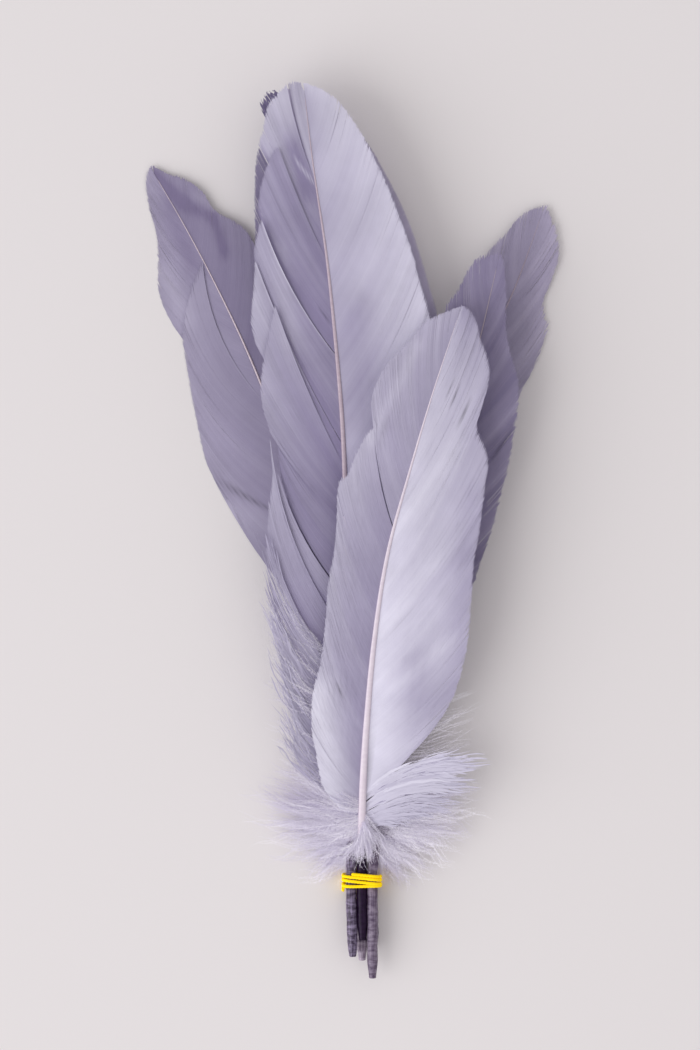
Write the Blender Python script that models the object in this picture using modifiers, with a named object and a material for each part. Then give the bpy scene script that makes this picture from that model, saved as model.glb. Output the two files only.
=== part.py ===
"""A bunch of six dyed goose feathers, tied round their quills with yellow thread and lying flat.

Each feather is one grown piece: a quill that tapers into the rachis, and its vane.  The vanes of
the two upper feathers spread at their foot as far as their down reaches.

+Y runs from the quills to the tips, +Z is up, and the bunch lies on z = 0.  Places are given in
millimetres and made metres where a mesh or a curve is filled in.
"""

import math

import bpy
import bmesh
from mathutils import Vector

MM = 0.001

# The quills, in two rows of three where the thread holds them.
QUILL_RADIUS = 0.98
QUILL_TIP_RADIUS = 0.8
QUILL_TIP_LENGTH = 3.0
RACHIS_TIP_RADIUS = 0.16
# The shaft keeps its full girth over this share of its length, from the cut end up.
BARREL_SHARE = 0.15
GAP = 0.3
QUILL_PITCH = 2 * QUILL_RADIUS + GAP
# A tube has a ring of points this far apart, and a bevel setting of 2 gives it 8 sides.
TUBE_STEP = 7.0
TUBE_BEVEL = 2
# How many short straight steps a smooth curve is measured in.
CURVE_STEPS = 400
WELD_DISTANCE = 0.01

# The thread that ties them.
THREAD_RADIUS = 0.34
THREAD_GAP = 0.4
THREAD_TURNS = 4
THREAD_PITCH = 0.8
POINTS_PER_TURN = 18
# The loose end, as two steps from where the last turn stops.
THREAD_END = ((0.9, -1.1, 0.1), (0.3, -1.3, -0.1))

# The rows and columns of quills, worked out from the surface that the thread lies on.
COLUMNS = (-0.15, -0.15 + QUILL_PITCH, -0.15 + 2 * QUILL_PITCH)
LOW_ROW = 2 * THREAD_RADIUS + THREAD_GAP + QUILL_RADIUS
TOP_ROW = LOW_ROW + QUILL_PITCH
TIE_Y = -74.0
TIE_HALF_LENGTH = 2.5


def held(column, row):
    """The two spine points of a quill that runs straight through the tie."""
    return (column, TIE_Y - TIE_HALF_LENGTH, row), (column, TIE_Y + TIE_HALF_LENGTH, row)


# The vanes: half a millimetre of barbs, cupped so that most edges stand above the rachis.  A vane
# leaves the rachis steeply, which is its flare, and then bends on gently.
VANE_THICKNESS = 0.5
CUP_REACH = 13.0
CUP_POWER = 1.6
FLARE_SHARE = 0.6
FLARE_REACH = 5.0
COLUMNS_PER_SIDE = 4
ROWS_PER_STATION = 2
RIDGE_STEP = 1.0
ON_RIDGE = 0.01

# Each feather: the spine from the cut end of the quill to the tip, the y where its vane starts, and
# the two edges of the vane as points at equal steps from that start to the tip.  A cup is about how
# far the left and the right side rise at CUP_REACH from the rachis; below 0 a side falls.
FEATHERS = {
    "feather_front": {
        "spine": (
            (2.25, -86.5, 4.15),
            *held(COLUMNS[1], TOP_ROW),
            (2.2, -58.0, 6.3),
            (3.0, -42.0, 8.0),
            (4.8, -22.0, 9.8),
            (7.6, -4.0, 11.3),
            (12.3, 13.6, 12.5),
            (17.0, 29.5, 13.4),
            (22.9, 47.3, 13.6),
        ),
        "vane_start": -58.0,
        "left": (
            (-2.1, -59), (-7.4, -47), (-8.2, -34), (-5.3, -21), (-3.4, -6),
            (-1.9, 6), (0.5, 17), (4.0, 28), (9.5, 38.5), (20.3, 47.0),
        ),
        "right": (
            (17.0, -73.0), (26.5, -58), (29.0, -42), (27.5, -28), (25.2, -13),
            (26.6, -1), (28.0, 11), (27.5, 23), (28.6, 35), (25.0, 46.6),
        ),
        "cup": (1.6, 2.2),
        "colour": (0.42, 0.39, 0.53),
    },
    "feather_centre": {
        "spine": (
            (0.2, -90.0, 4.15),
            *held(COLUMNS[0], TOP_ROW),
            (-0.2, -60.0, 4.8),
            (-0.4, -42.0, 5.7),
            (-0.8, -18.0, 7.1),
            (-1.2, 4.0, 8.2),
            (-2.0, 23.0, 9.0),
            (-3.4, 40.0, 9.6),
            (-5.4, 59.0, 10.1),
            (-8.2, 78.0, 10.4),
            (-10.2, 94.5, 10.4),
        ),
        "vane_start": -58.0,
        "left": (
            (-11, -71), (-21.5, -52), (-15, -34), (-16.5, -18), (-18.5, -2), (-17.3, 13),
            (-18.4, 28), (-20.5, 43), (-21.0, 58), (-19.6, 71), (-18.8, 83), (-15, 94.6),
        ),
        "right": (
            (0.8, -56), (4.5, -43), (8.5, -28), (11, -14), (14, 0), (16.2, 13),
            (17.8, 27), (17.6, 41), (15, 52), (10.5, 66), (3.5, 82), (-6.5, 94.0),
        ),
        "cup": (2.0, 1.8),
        "colour": (0.45, 0.42, 0.56),
    },
    "feather_behind": {
        "spine": (
            (2.2, -91.0, 1.75),
            *held(COLUMNS[1], LOW_ROW),
            (1.4, -60.0, 2.35),
            (0.3, -44.0, 2.9),
            (-0.8, -24.0, 3.7),
            (-2.0, 0.0, 4.6),
            (-3.5, 23.0, 5.4),
            (-5.8, 46.0, 6.1),
            (-9.0, 70.0, 6.8),
            (-14.0, 93.5, 7.2),
        ),
        "vane_start": -50.0,
        "left": (
            (-3, -48), (-7, -36), (-10, -23), (-12.5, -9), (-14.5, 6), (-16, 20),
            (-18, 34), (-20, 47), (-20.6, 60), (-20.6, 72), (-20.2, 82), (-18, 92),
        ),
        "right": (
            (3, -48), (6, -36), (9, -22), (12, -8), (14.5, 5), (16.5, 17),
            (17.8, 29), (18.4, 40), (17.0, 52), (12.8, 64.5), (6.2, 78), (-7, 92.5),
        ),
        "cup": (1.4, 1.0),
        "colour": (0.33, 0.30, 0.42),
    },
    "feather_right_middle": {
        "spine": (
            (4.4, -94.6, 4.0),
            *held(COLUMNS[2], TOP_ROW),
            (6.6, -58.0, 4.6),
            (9.6, -42.0, 5.3),
            (13.6, -20.0, 6.3),
            (17.7, 0.3, 7.2),
            (22.3, 23.0, 8.2),
            (27.1, 41.3, 9.2),
            (31.0, 58.0, 9.6),
        ),
        "vane_start": -50.0,
        "left": (
            (7, -49), (8, -36), (9.5, -24), (11, -11), (12.5, 2),
            (14, 15), (16, 28), (18, 39), (21.5, 50), (28.0, 58.6),
        ),
        "right": (
            (10, -50), (15.5, -38), (20.5, -25), (25, -12), (29.5, 0),
            (32.5, 13), (35, 25), (34, 37), (32.8, 48), (32.2, 57),
        ),
        "cup": (1.3, 1.3),
        "colour": (0.30, 0.27, 0.36),
    },
    "feather_left": {
        "spine": (
            (-0.1, -84.5, 1.75),
            *held(COLUMNS[0], LOW_ROW),
            (-2.2, -60.0, 1.75),
            (-4.4, -42.0, 1.6),
            (-7.2, -18.0, 1.8),
            (-10.2, 0.0, 2.1),
            (-13.6, 14.5, 2.3),
            (-17.6, 27.3, 2.2),
            (-23.0, 40.5, 1.9),
            (-29.5, 54.0, 1.6),
            (-35.7, 65.7, 1.3),
            (-42.6, 77.6, 0.9),
        ),
        "vane_start": -48.0,
        "left": (
            (-5.5, -46), (-9, -31), (-11.5, -18), (-15, -6), (-24, 5), (-31.3, 14.5),
            (-34, 27), (-36.4, 41), (-41.2, 53), (-42.5, 66), (-43.8, 76.6),
        ),
        "right": (
            (-2, -46), (-2.2, -32), (-2.6, -17), (-3.5, -2), (-5, 12), (-8, 26),
            (-12, 40), (-17.5, 54), (-23.5, 65.5), (-31, 72), (-40.8, 77.6),
        ),
        "cup": (-1.9, 0.2),
        "colour": (0.34, 0.31, 0.43),
    },
    "feather_right_back": {
        "spine": (
            (4.7, -88.5, 1.75),
            *held(COLUMNS[2], LOW_ROW),
            (6.4, -58.0, 1.8),
            (9.6, -43.5, 1.5),
            (15.1, -18.0, 0.9),
            (21.1, 7.6, 0.3),
            (25.6, 25.0, 0.1),
            (30.0, 41.0, 0.1),
            (35.6, 54.5, 0.5),
            (40.8, 69.0, 1.1),
        ),
        "vane_start": -48.0,
        "left": (
            (7.5, -48), (9, -34), (11, -20), (13, -6), (15.5, 9),
            (18, 23), (21, 37), (24.5, 50), (30, 61.5), (38.5, 69.4),
        ),
        "right": (
            (11, -48), (15, -36), (19.5, -23), (24, -9), (28, 3),
            (31.5, 17), (36.5, 32), (41.2, 44), (43.8, 58), (42.4, 68.4),
        ),
        "cup": (1.2, 1.2),
        "colour": (0.32, 0.29, 0.40),
    },
}
LYING_FEATHERS = ("feather_left", "feather_right_back")
# The block below z = 0 that is cut away from them: its side and its depth.
GROUND_SIDE, GROUND_DEPTH = 300.0, 10.0
THREAD_COLOUR = (0.90, 0.62, 0.02)
VANE_ROUGHNESS, THREAD_ROUGHNESS = 0.7, 0.75


def clear_scene():
    for found in list(bpy.data.objects):
        bpy.data.objects.remove(found, do_unlink=True)


def make_collection(name):
    collection = bpy.data.collections.new(name)
    bpy.context.scene.collection.children.link(collection)
    return collection


def make_material(name, colour, roughness):
    material = bpy.data.materials.new(name)
    material.use_nodes = True
    shader = material.node_tree.nodes["Principled BSDF"]
    shader.inputs["Base Color"].default_value = (*colour, 1.0)
    shader.inputs["Roughness"].default_value = roughness
    shader.inputs["Metallic"].default_value = 0.0
    return material


def along(points, fraction):
    """The point at a fraction, from 0 to 1, of the smooth curve through points at equal steps."""
    last = len(points) - 1
    place = min(max(fraction, 0.0), 1.0) * last
    span = min(int(place), last - 1)
    t = place - span
    p1, p2 = Vector(points[span]), Vector(points[span + 1])
    p0 = Vector(points[span - 1]) if span > 0 else 2 * p1 - p2
    p3 = Vector(points[span + 2]) if span + 2 <= last else 2 * p2 - p1
    turn = 2 * p0 - 5 * p1 + 4 * p2 - p3
    curl = 3 * p1 - p0 - 3 * p2 + p3
    return 0.5 * (2 * p1 + (p2 - p0) * t + turn * t**2 + curl * t**3)


def even_line(points, step):
    """Points about a step apart along the smooth curve through points."""
    fine = [along(points, i / CURVE_STEPS) for i in range(CURVE_STEPS + 1)]
    lengths = [0.0]
    for a, b in zip(fine, fine[1:]):
        lengths.append(lengths[-1] + (b - a).length)
    count = max(2, round(lengths[-1] / step))
    line = []
    at = 0
    for i in range(count + 1):
        wanted = lengths[-1] * i / count
        while at < CURVE_STEPS - 1 and lengths[at + 1] < wanted:
            at += 1
        share = (wanted - lengths[at]) / (lengths[at + 1] - lengths[at])
        line.append(fine[at].lerp(fine[at + 1], share))
    return line


def quill_radius(distance, length):
    """A quill narrows at its cut end, keeps its girth to the tie, then tapers all the way up."""
    start = min(distance / QUILL_TIP_LENGTH, 1.0)
    barrel = QUILL_TIP_RADIUS + (QUILL_RADIUS - QUILL_TIP_RADIUS) * start
    beyond = max(distance - BARREL_SHARE * length, 0.0)
    taper = 1.0 - beyond / ((1.0 - BARREL_SHARE) * length)
    return RACHIS_TIP_RADIUS + (barrel - RACHIS_TIP_RADIUS) * taper


def make_tube(name, line, radii, collection):
    """A closed mesh tube along line, made from a bevelled curve with filled caps."""
    curve = bpy.data.curves.new(name + "_curve", "CURVE")
    curve.dimensions = "3D"
    curve.bevel_depth = MM
    curve.bevel_resolution = TUBE_BEVEL
    curve.use_fill_caps = True
    spline = curve.splines.new("POLY")
    spline.points.add(len(line) - 1)
    for spot, place, radius in zip(spline.points, line, radii):
        spot.co = (*(place * MM), 1.0)
        spot.radius = radius
    guide = bpy.data.objects.new(name + "_guide", curve)
    collection.objects.link(guide)
    graph = bpy.context.evaluated_depsgraph_get()
    mesh = bpy.data.meshes.new_from_object(guide.evaluated_get(graph))
    mesh.name = name
    tube = bpy.data.objects.new(name, mesh)
    tube.matrix_world = guide.matrix_world
    bpy.data.objects.remove(guide)
    weld(mesh)
    collection.objects.link(tube)
    return tube


def weld(mesh):
    shape = bmesh.new()
    shape.from_mesh(mesh)
    bmesh.ops.remove_doubles(shape, verts=shape.verts, dist=WELD_DISTANCE * MM)
    bmesh.ops.recalc_face_normals(shape, faces=shape.faces)
    shape.to_mesh(mesh)
    shape.free()


def cupped_height(place, ridge, cup):
    """The vane's height over a place: that of the nearest point of the rachis, and the cup's rise."""
    near = min(ridge, key=lambda spot: (spot.x - place.x) ** 2 + (spot.y - place.y) ** 2)
    off = math.hypot(place.x - near.x, place.y - near.y)
    flare = FLARE_SHARE * (1.0 - math.exp(-off / FLARE_REACH))
    bend = (1.0 - FLARE_SHARE) * (off / CUP_REACH) ** CUP_POWER
    return near.z + cup * (flare + bend)


def make_vane(name, design, collection):
    """The vane: a grid drawn from the left edge over the rachis to the right edge, and thickened."""
    spine = even_line(design["spine"], RIDGE_STEP)
    ridge = [spot for spot in spine if spot.y >= design["vane_start"]]
    rows = ROWS_PER_STATION * (len(design["left"]) - 1)
    columns = 2 * COLUMNS_PER_SIDE
    shape = bmesh.new()
    bmesh.ops.create_grid(shape, x_segments=columns, y_segments=rows, size=1.0)
    for vert in shape.verts:
        across, up = vert.co.x, (vert.co.y + 1.0) / 2.0
        side = 0 if across < 0 else 1
        root = ridge[round(up * (len(ridge) - 1))]
        edge = along([(x, y, 0.0) for x, y in design["left" if side == 0 else "right"]], up)
        place = root.lerp(edge, abs(across))
        place.z = root.z
        if abs(across) > ON_RIDGE:
            place.z = cupped_height(place, ridge, design["cup"][side])
        vert.co = place * MM
    mesh = bpy.data.meshes.new(name)
    shape.to_mesh(mesh)
    shape.free()
    vane = bpy.data.objects.new(name, mesh)
    collection.objects.link(vane)
    thicken = vane.modifiers.new("Barb thickness", "SOLIDIFY")
    thicken.thickness = VANE_THICKNESS * MM
    thicken.offset = 0.0
    return vane


def settle(thing):
    """The object's mesh as its modifiers leave it, with the modifiers gone."""
    graph = bpy.context.evaluated_depsgraph_get()
    thing.data = bpy.data.meshes.new_from_object(thing.evaluated_get(graph))
    thing.modifiers.clear()


def combine(thing, other, operation):
    boolean = thing.modifiers.new(operation.title(), "BOOLEAN")
    boolean.operation = operation
    boolean.solver = "EXACT"
    boolean.object = other


def make_feather(name, design, parts, helpers, ground):
    """One feather: the tube of its quill and rachis, joined to its vane."""
    line = even_line(design["spine"], TUBE_STEP)
    length = (len(line) - 1) * TUBE_STEP
    radii = [quill_radius(i * TUBE_STEP, length) for i in range(len(line))]
    feather = make_tube(name, line, radii, parts)
    vane = make_vane(name + "_vane", design, helpers)
    settle(vane)
    vane.hide_render = True
    vane.display_type = "WIRE"
    combine(feather, vane, "UNION")
    if name in LYING_FEATHERS:
        combine(feather, ground, "DIFFERENCE")
    feather.data.materials.append(make_material("dyed " + name, design["colour"], VANE_ROUGHNESS))
    return feather


def make_ground(helpers):
    """The cutter below z = 0 that gives the lowest feathers the flat places that they lie on."""
    shape = bmesh.new()
    bmesh.ops.create_cube(shape, size=1.0)
    size = Vector((GROUND_SIDE, GROUND_SIDE, GROUND_DEPTH)) * MM
    bmesh.ops.scale(shape, verts=shape.verts, vec=size)
    bmesh.ops.translate(shape, verts=shape.verts, vec=(0.0, 0.0, -size.z / 2.0))
    mesh = bpy.data.meshes.new("ground_cutter")
    shape.to_mesh(mesh)
    shape.free()
    ground = bpy.data.objects.new("ground_cutter", mesh)
    helpers.objects.link(ground)
    ground.hide_render = True
    ground.display_type = "WIRE"
    return ground


def round_the_quills(turn):
    """A place on the thread's route, in x and z: a rounded rectangle round the six quills."""
    reach = QUILL_RADIUS + THREAD_GAP + THREAD_RADIUS
    half_x, half_z = QUILL_PITCH, QUILL_PITCH / 2.0
    arc = math.pi * reach / 2.0
    runs = (half_x * 2, arc, half_z * 2, arc, half_x * 2, arc, half_z * 2, arc)
    corners = ((half_x, half_z), (half_x, -half_z), (-half_x, -half_z), (-half_x, half_z))
    left = (turn % 1.0) * sum(runs)
    for number, run in enumerate(runs):
        if left <= run or number == 7:
            break
        left -= run
    corner = number // 2
    heading = -math.pi / 2.0 * corner
    start = Vector(corners[corner]) if number % 2 else Vector(corners[corner - 1])
    if number % 2:
        angle = math.pi / 2.0 + heading - left / reach
        place = start + reach * Vector((math.cos(angle), math.sin(angle)))
    else:
        forward = Vector((math.cos(heading), math.sin(heading)))
        outward = Vector((-forward.y, forward.x))
        place = start + outward * reach + forward * left
    return place + Vector((COLUMNS[1], (LOW_ROW + TOP_ROW) / 2.0))


def make_thread(parts):
    """Four close turns of thread, from the top left corner round to it, with a short loose end."""
    count = THREAD_TURNS * POINTS_PER_TURN
    line = []
    for i in range(count + 1):
        x, z = round_the_quills(i / POINTS_PER_TURN)
        y = TIE_Y + THREAD_PITCH * (THREAD_TURNS / 2.0 - i / POINTS_PER_TURN)
        line.append(Vector((x, y, z)))
    for step in THREAD_END:
        line.append(line[-1] + Vector(step))
    radii = [THREAD_RADIUS] * len(line)
    thread = make_tube("thread_tie", line, radii, parts)
    thread.data.materials.append(make_material("yellow thread", THREAD_COLOUR, THREAD_ROUGHNESS))
    return thread


def main():
    clear_scene()
    parts = make_collection("goose feather bunch")
    helpers = make_collection("cutters")
    ground = make_ground(helpers)
    for name, design in FEATHERS.items():
        make_feather(name, design, parts, helpers, ground)
    make_thread(parts)


main()
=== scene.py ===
# %% [markdown]
# # A bunch of goose feathers
#
# Six dyed goose feathers lie flat, held together by a few turns of yellow thread round their
# quills.  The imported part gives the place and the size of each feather, but its vanes are plain
# sheets.  A real vane is a comb of hundreds of fine barbs, with soft down at its foot, so each
# feather is rebuilt here barb by barb, on the same spine as the part.

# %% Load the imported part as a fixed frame
import math

import bmesh
import bpy
import numpy as np
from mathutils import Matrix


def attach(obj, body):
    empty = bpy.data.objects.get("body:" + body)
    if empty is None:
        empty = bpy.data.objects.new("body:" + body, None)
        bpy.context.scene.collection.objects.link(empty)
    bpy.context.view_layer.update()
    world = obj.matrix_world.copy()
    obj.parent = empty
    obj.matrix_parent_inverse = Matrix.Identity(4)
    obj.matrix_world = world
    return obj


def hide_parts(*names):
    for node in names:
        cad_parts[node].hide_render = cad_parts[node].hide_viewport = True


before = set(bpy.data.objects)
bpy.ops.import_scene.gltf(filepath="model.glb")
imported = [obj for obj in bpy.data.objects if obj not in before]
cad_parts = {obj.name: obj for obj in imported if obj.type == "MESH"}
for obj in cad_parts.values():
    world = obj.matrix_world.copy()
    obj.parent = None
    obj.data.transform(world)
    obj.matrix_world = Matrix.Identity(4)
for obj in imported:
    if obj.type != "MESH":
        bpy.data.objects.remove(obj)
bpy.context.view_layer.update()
MM = 0.001

# %% [markdown]
# ## Smooth lines
#
# Nothing on a feather is straight, so every line here is a smooth curve through a few points, as
# a maker would bend a wire through marks on a board.  Points are in millimetres: +Y runs from
# the quills to the tips, +X is to the right, and +Z is up.

# %% A smooth curve through a few points


def smooth_path(points, fractions):
    """Places on the smooth curve through points, one for each fraction of its length in steps."""
    knots = np.asarray(points, float)
    knots = np.vstack([2 * knots[0] - knots[1], knots, 2 * knots[-1] - knots[-2]])
    last = len(points) - 1
    place = np.clip(fractions, 0, 1) * last
    span = np.minimum(place.astype(int), last - 1)
    t = (place - span)[:, None]
    a, b, c, d = (knots[span + k] for k in range(4))
    bent = (2 * a - 5 * b + 4 * c - d) * t**2 + (3 * b - a - 3 * c + d) * t**3
    return 0.5 * (2 * b + (c - a) * t + bent)


def unit(vectors):
    return vectors / np.maximum(np.linalg.norm(vectors, axis=-1, keepdims=True), 1e-9)


def along(line, marks, at):
    """Places on a line of points, where marks rises by one value to each point, at some values."""
    return np.stack([np.interp(at, marks, line[:, k]) for k in range(line.shape[1])], 1)


def distances(line):
    """How far along a line each of its points lies."""
    return np.concatenate([[0], np.cumsum(np.linalg.norm(np.diff(line, axis=0), axis=1))])


def bend(start, control, end, stations):
    """Curves from start to end, pulled towards control, as curves x stations x coordinates."""
    t = stations[None, :, None]
    return (1 - t) ** 2 * start[:, None] + 2 * t * (1 - t) * control[:, None] + t**2 * end[:, None]


def square_to(run, up):
    """Unit vectors square to run: one to its right with up overhead, and one over it."""
    over = unit(np.cross(run, up))
    return over, np.cross(over, run)


UP = np.array([0, 0, 1.0])

# %% [markdown]
# ## The spines
#
# A feather grows from one shaft: the bare quill at its foot, then the rachis that carries the
# vane.  These are the same spines as in the part, from the cut end of the quill to the tip.  Each
# runs straight through the tie, which holds the quills in two rows of three.

# %% Spines of the six feathers
TIE_Y, TIE_HALF = -74.0, 2.5
COLUMNS, ROWS = (-0.15, 2.11, 4.37), (2.06, 4.32)
QUILL_RADIUS = 0.98


def held(column, row):
    """The two spine points of a quill that runs straight through the tie."""
    x, z = COLUMNS[column], ROWS[row]
    return (x, TIE_Y - TIE_HALF, z), (x, TIE_Y + TIE_HALF, z)


SPINES = {
    "front": (
        (2.25, -86.5, 4.15), *held(1, 1), (2.2, -58, 6.3), (3, -42, 8), (4.8, -22, 9.8),
        (7.6, -4, 11.3), (12.3, 13.6, 12.5), (17, 29.5, 13.4), (22.9, 47.3, 13.6),
    ),
    "centre": (
        (0.2, -90, 4.15), *held(0, 1), (-0.2, -60, 4.8), (-0.4, -42, 5.7),
        (-0.8, -18, 7.1), (-1.2, 4, 8.2), (-2, 23, 9), (-3.4, 40, 9.6),
        (-5.4, 59, 10.1), (-8.2, 78, 10.4), (-10.2, 94.5, 10.4),
    ),
    "behind": (
        (2.2, -91, 1.75), *held(1, 0), (1.4, -60, 2.35), (0.3, -44, 2.9), (-0.8, -24, 3.7),
        (-2, 0, 4.6), (-3.5, 23, 5.4), (-5.8, 46, 6.1), (-9, 70, 6.8),
        (-14, 93.5, 7.2),
    ),
    "right_middle": (
        (4.4, -94.6, 4), *held(2, 1), (6.6, -58, 4.6), (9.6, -42, 5.3), (13.6, -20, 6.3),
        (17.7, 0.3, 7.2), (22.3, 23, 8.2), (27.1, 41.3, 9.2), (31, 58, 9.6),
    ),
    "left": (
        (-0.1, -84.5, 1.75), *held(0, 0), (-2.2, -60, 1.75), (-4.4, -42, 1.6),
        (-7.2, -18, 1.8), (-10.2, 0, 2.1), (-13.6, 14.5, 2.3), (-17.6, 27.3, 2.2),
        (-23, 40.5, 1.9), (-29.5, 54, 1.6), (-35.7, 65.7, 1.3), (-42.6, 77.6, 0.9),
    ),
    "right_back": (
        (4.7, -88.5, 1.75), *held(2, 0), (6.4, -58, 1.8), (9.6, -43.5, 1.5), (15.1, -18, 0.9),
        (21.1, 7.6, 0.3), (25.6, 25, 0.1), (30, 41, 0.1), (35.6, 54.5, 0.5),
        (40.8, 69, 1.1),
    ),
}
SPINE_STEPS = 600
ridges = {
    name: smooth_path(points, np.linspace(0, 1, SPINE_STEPS + 1)) for name, points in SPINES.items()
}
for name, ridge in ridges.items():
    print(f"{name}: {distances(ridge)[-1]:.0f} mm from the cut end of the quill to the tip")

# %% [markdown]
# ## Colours
#
# Colours are given as sRGB hex values, as in a paint program, but a shader mixes light in
# linear values, so one function turns the one into the other.

# %% Hex colours and a helper that adds a node


def linear(hex_colour):
    """An sRGB hex colour as linear red, green, blue and alpha."""
    values = [int(hex_colour[i : i + 2], 16) / 255 for i in (1, 3, 5)]
    light = [v / 12.92 if v <= 0.04045 else ((v + 0.055) / 1.055) ** 2.4 for v in values]
    return (*light, 1.0)


def add_node(tree, kind, settings=None, inputs=None, links=None):
    """A new node, with its own options, its sockets' values and the sockets that feed it."""
    node = tree.nodes.new(kind)
    for option, value in (settings or {}).items():
        setattr(node, option, value)
    for socket, value in (inputs or {}).items():
        node.inputs[socket].default_value = value
    for socket, source in (links or {}).items():
        tree.links.new(source, node.inputs[socket])
    return node


def new_material(name, shader_inputs):
    """A material with one Principled shader, and the tree to add its pattern to."""
    material = bpy.data.materials.new(name)
    material.use_nodes = True
    shader = material.node_tree.nodes["Principled BSDF"]
    for socket, value in shader_inputs.items():
        shader.inputs[socket].default_value = value
    return material, material.node_tree, shader


# %% Patterns that several materials share


def attribute(tree, name):
    return add_node(tree, "ShaderNodeAttribute", {"attribute_name": name}).outputs["Fac"]


def object_place(tree):
    return add_node(tree, "ShaderNodeTexCoord").outputs["Object"]


def noise(tree, place, scale, detail, roughness=0.5):
    settings = {"Scale": scale, "Detail": detail, "Roughness": roughness}
    return add_node(tree, "ShaderNodeTexNoise", {}, settings, {"Vector": place}).outputs["Fac"]


def dye_mix(tree, deep, pale, factor):
    """A colour that runs from deep to pale as factor does."""
    ends = {"A": linear(deep), "B": linear(pale)}
    mix = add_node(tree, "ShaderNodeMix", {"data_type": "RGBA"}, ends, {"Factor": factor})
    return mix.outputs[2]


def add_bump(tree, shader, height, strength, depth):
    settings = {"Strength": strength, "Distance": depth}
    bump = add_node(tree, "ShaderNodeBump", {}, settings, {"Height": height})
    tree.links.new(bump.outputs["Normal"], shader.inputs["Normal"])


# %% [markdown]
# ## The dyed vane
#
# A vane is keratin, the stuff of fingernails, split into barbs that hook to each other.  It has a
# soft sheen and no hard highlight.  Dye takes unevenly, so barbs differ a little, and whole locks
# of them are lighter or darker.  Each barb carries that as an attribute called tone, which also
# holds painted light and shade: darker vanes that face away from the lamp, light that changes
# along each barb as its cup turns, a painted shadow where one lock rides over the next and a
# painted highlight along that lock's edge.  A second attribute, shade, is painted shade in the
# folds where barbs are pressed together and in the seam beside the rachis.

# %% Dyed vane materials
KERATIN_IOR = 1.54


def dyed_vane(name, deep, pale):
    """Dyed goose barbs: deep and pale are the two ends of the dye's range."""
    material, tree, shader = new_material(
        name,
        {
            "Roughness": 0.55, "IOR": KERATIN_IOR, "Specular IOR Level": 0.35,
            "Sheen Weight": 0.1, "Sheen Roughness": 0.45, "Sheen Tint": linear("#e9e6f4"),
        },
    )
    # Tone mixes the two dye colours, and it carries painted light and shade as well as dye.
    dye = dye_mix(tree, deep, pale, attribute(tree, "tone"))
    # Dye settles in soft blots some 12 mm across.
    blots = noise(tree, object_place(tree), 1 / (12 * MM), 3.0, 0.55)
    wash = add_node(
        tree, "ShaderNodeMapRange", {},
        {"From Min": 0.3, "From Max": 0.7, "To Min": 0.93, "To Max": 1.06}, {"Value": blots},
    )
    # Painted shade: the shade attribute darkens the colour in folds and in the seam by the rachis.
    lit = add_node(
        tree, "ShaderNodeMath", {"operation": "SUBTRACT", "use_clamp": True}, {0: 1.0},
        {1: attribute(tree, "shade")},
    )
    amount = add_node(
        tree, "ShaderNodeMath", {"operation": "MULTIPLY"}, {},
        {0: wash.outputs["Result"], 1: lit.outputs["Value"]},
    )
    finish = add_node(
        tree, "ShaderNodeVectorMath", {"operation": "SCALE"}, {},
        {0: dye, "Scale": amount.outputs["Value"]},
    )
    tree.links.new(finish.outputs["Vector"], shader.inputs["Base Color"])
    return material


VANE_FINISHES = {
    "vane_light": dyed_vane("dyed goose vane, pale lavender", "#877da1", "#dfdced"),
    "vane_grey": dyed_vane("dyed goose vane, grey lavender", "#776c8f", "#bfb9d0"),
    "vane_dark": dyed_vane("dyed goose vane, deep mauve", "#6c6287", "#bab2cb"),
}

# %% [markdown]
# ## A comb of barbs
#
# Combing a real vane with a finger splits it into locks, and each lock still lies as one smooth
# sheet.  So a vane is given here as a few locks.  Each row of a lock says where on the rachis a
# barb is rooted, and where its tip ends.  The barbs between two rows follow smoothly.
#
# One grid is the raw stock for a whole side of a feather.  Each barb is five columns of it, folded
# round into a flat closed blade, and the faces between two barbs are cut away.  Blades are half
# as wide again as their spacing, so that they overlap like tiles, as hooked barbs do.

# %% Cut one grid into many closed blades
WELD_DISTANCE = 0.001 * MM
SHARP_ANGLE = 50        # degrees, below which a blade's faces are shaded as one smooth surface


def add_object(name, data):
    """A new object at the origin of the scene."""
    made = bpy.data.objects.new(name, data)
    bpy.context.scene.collection.objects.link(made)
    return made


def grid_mesh(name, x_segments, y_segments, size):
    stock = bmesh.new()
    bmesh.ops.create_grid(
        stock, x_segments=x_segments, y_segments=y_segments, size=size, calc_uvs=False
    )
    mesh = bpy.data.meshes.new(name)
    stock.to_mesh(mesh)
    stock.free()
    return mesh


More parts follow.
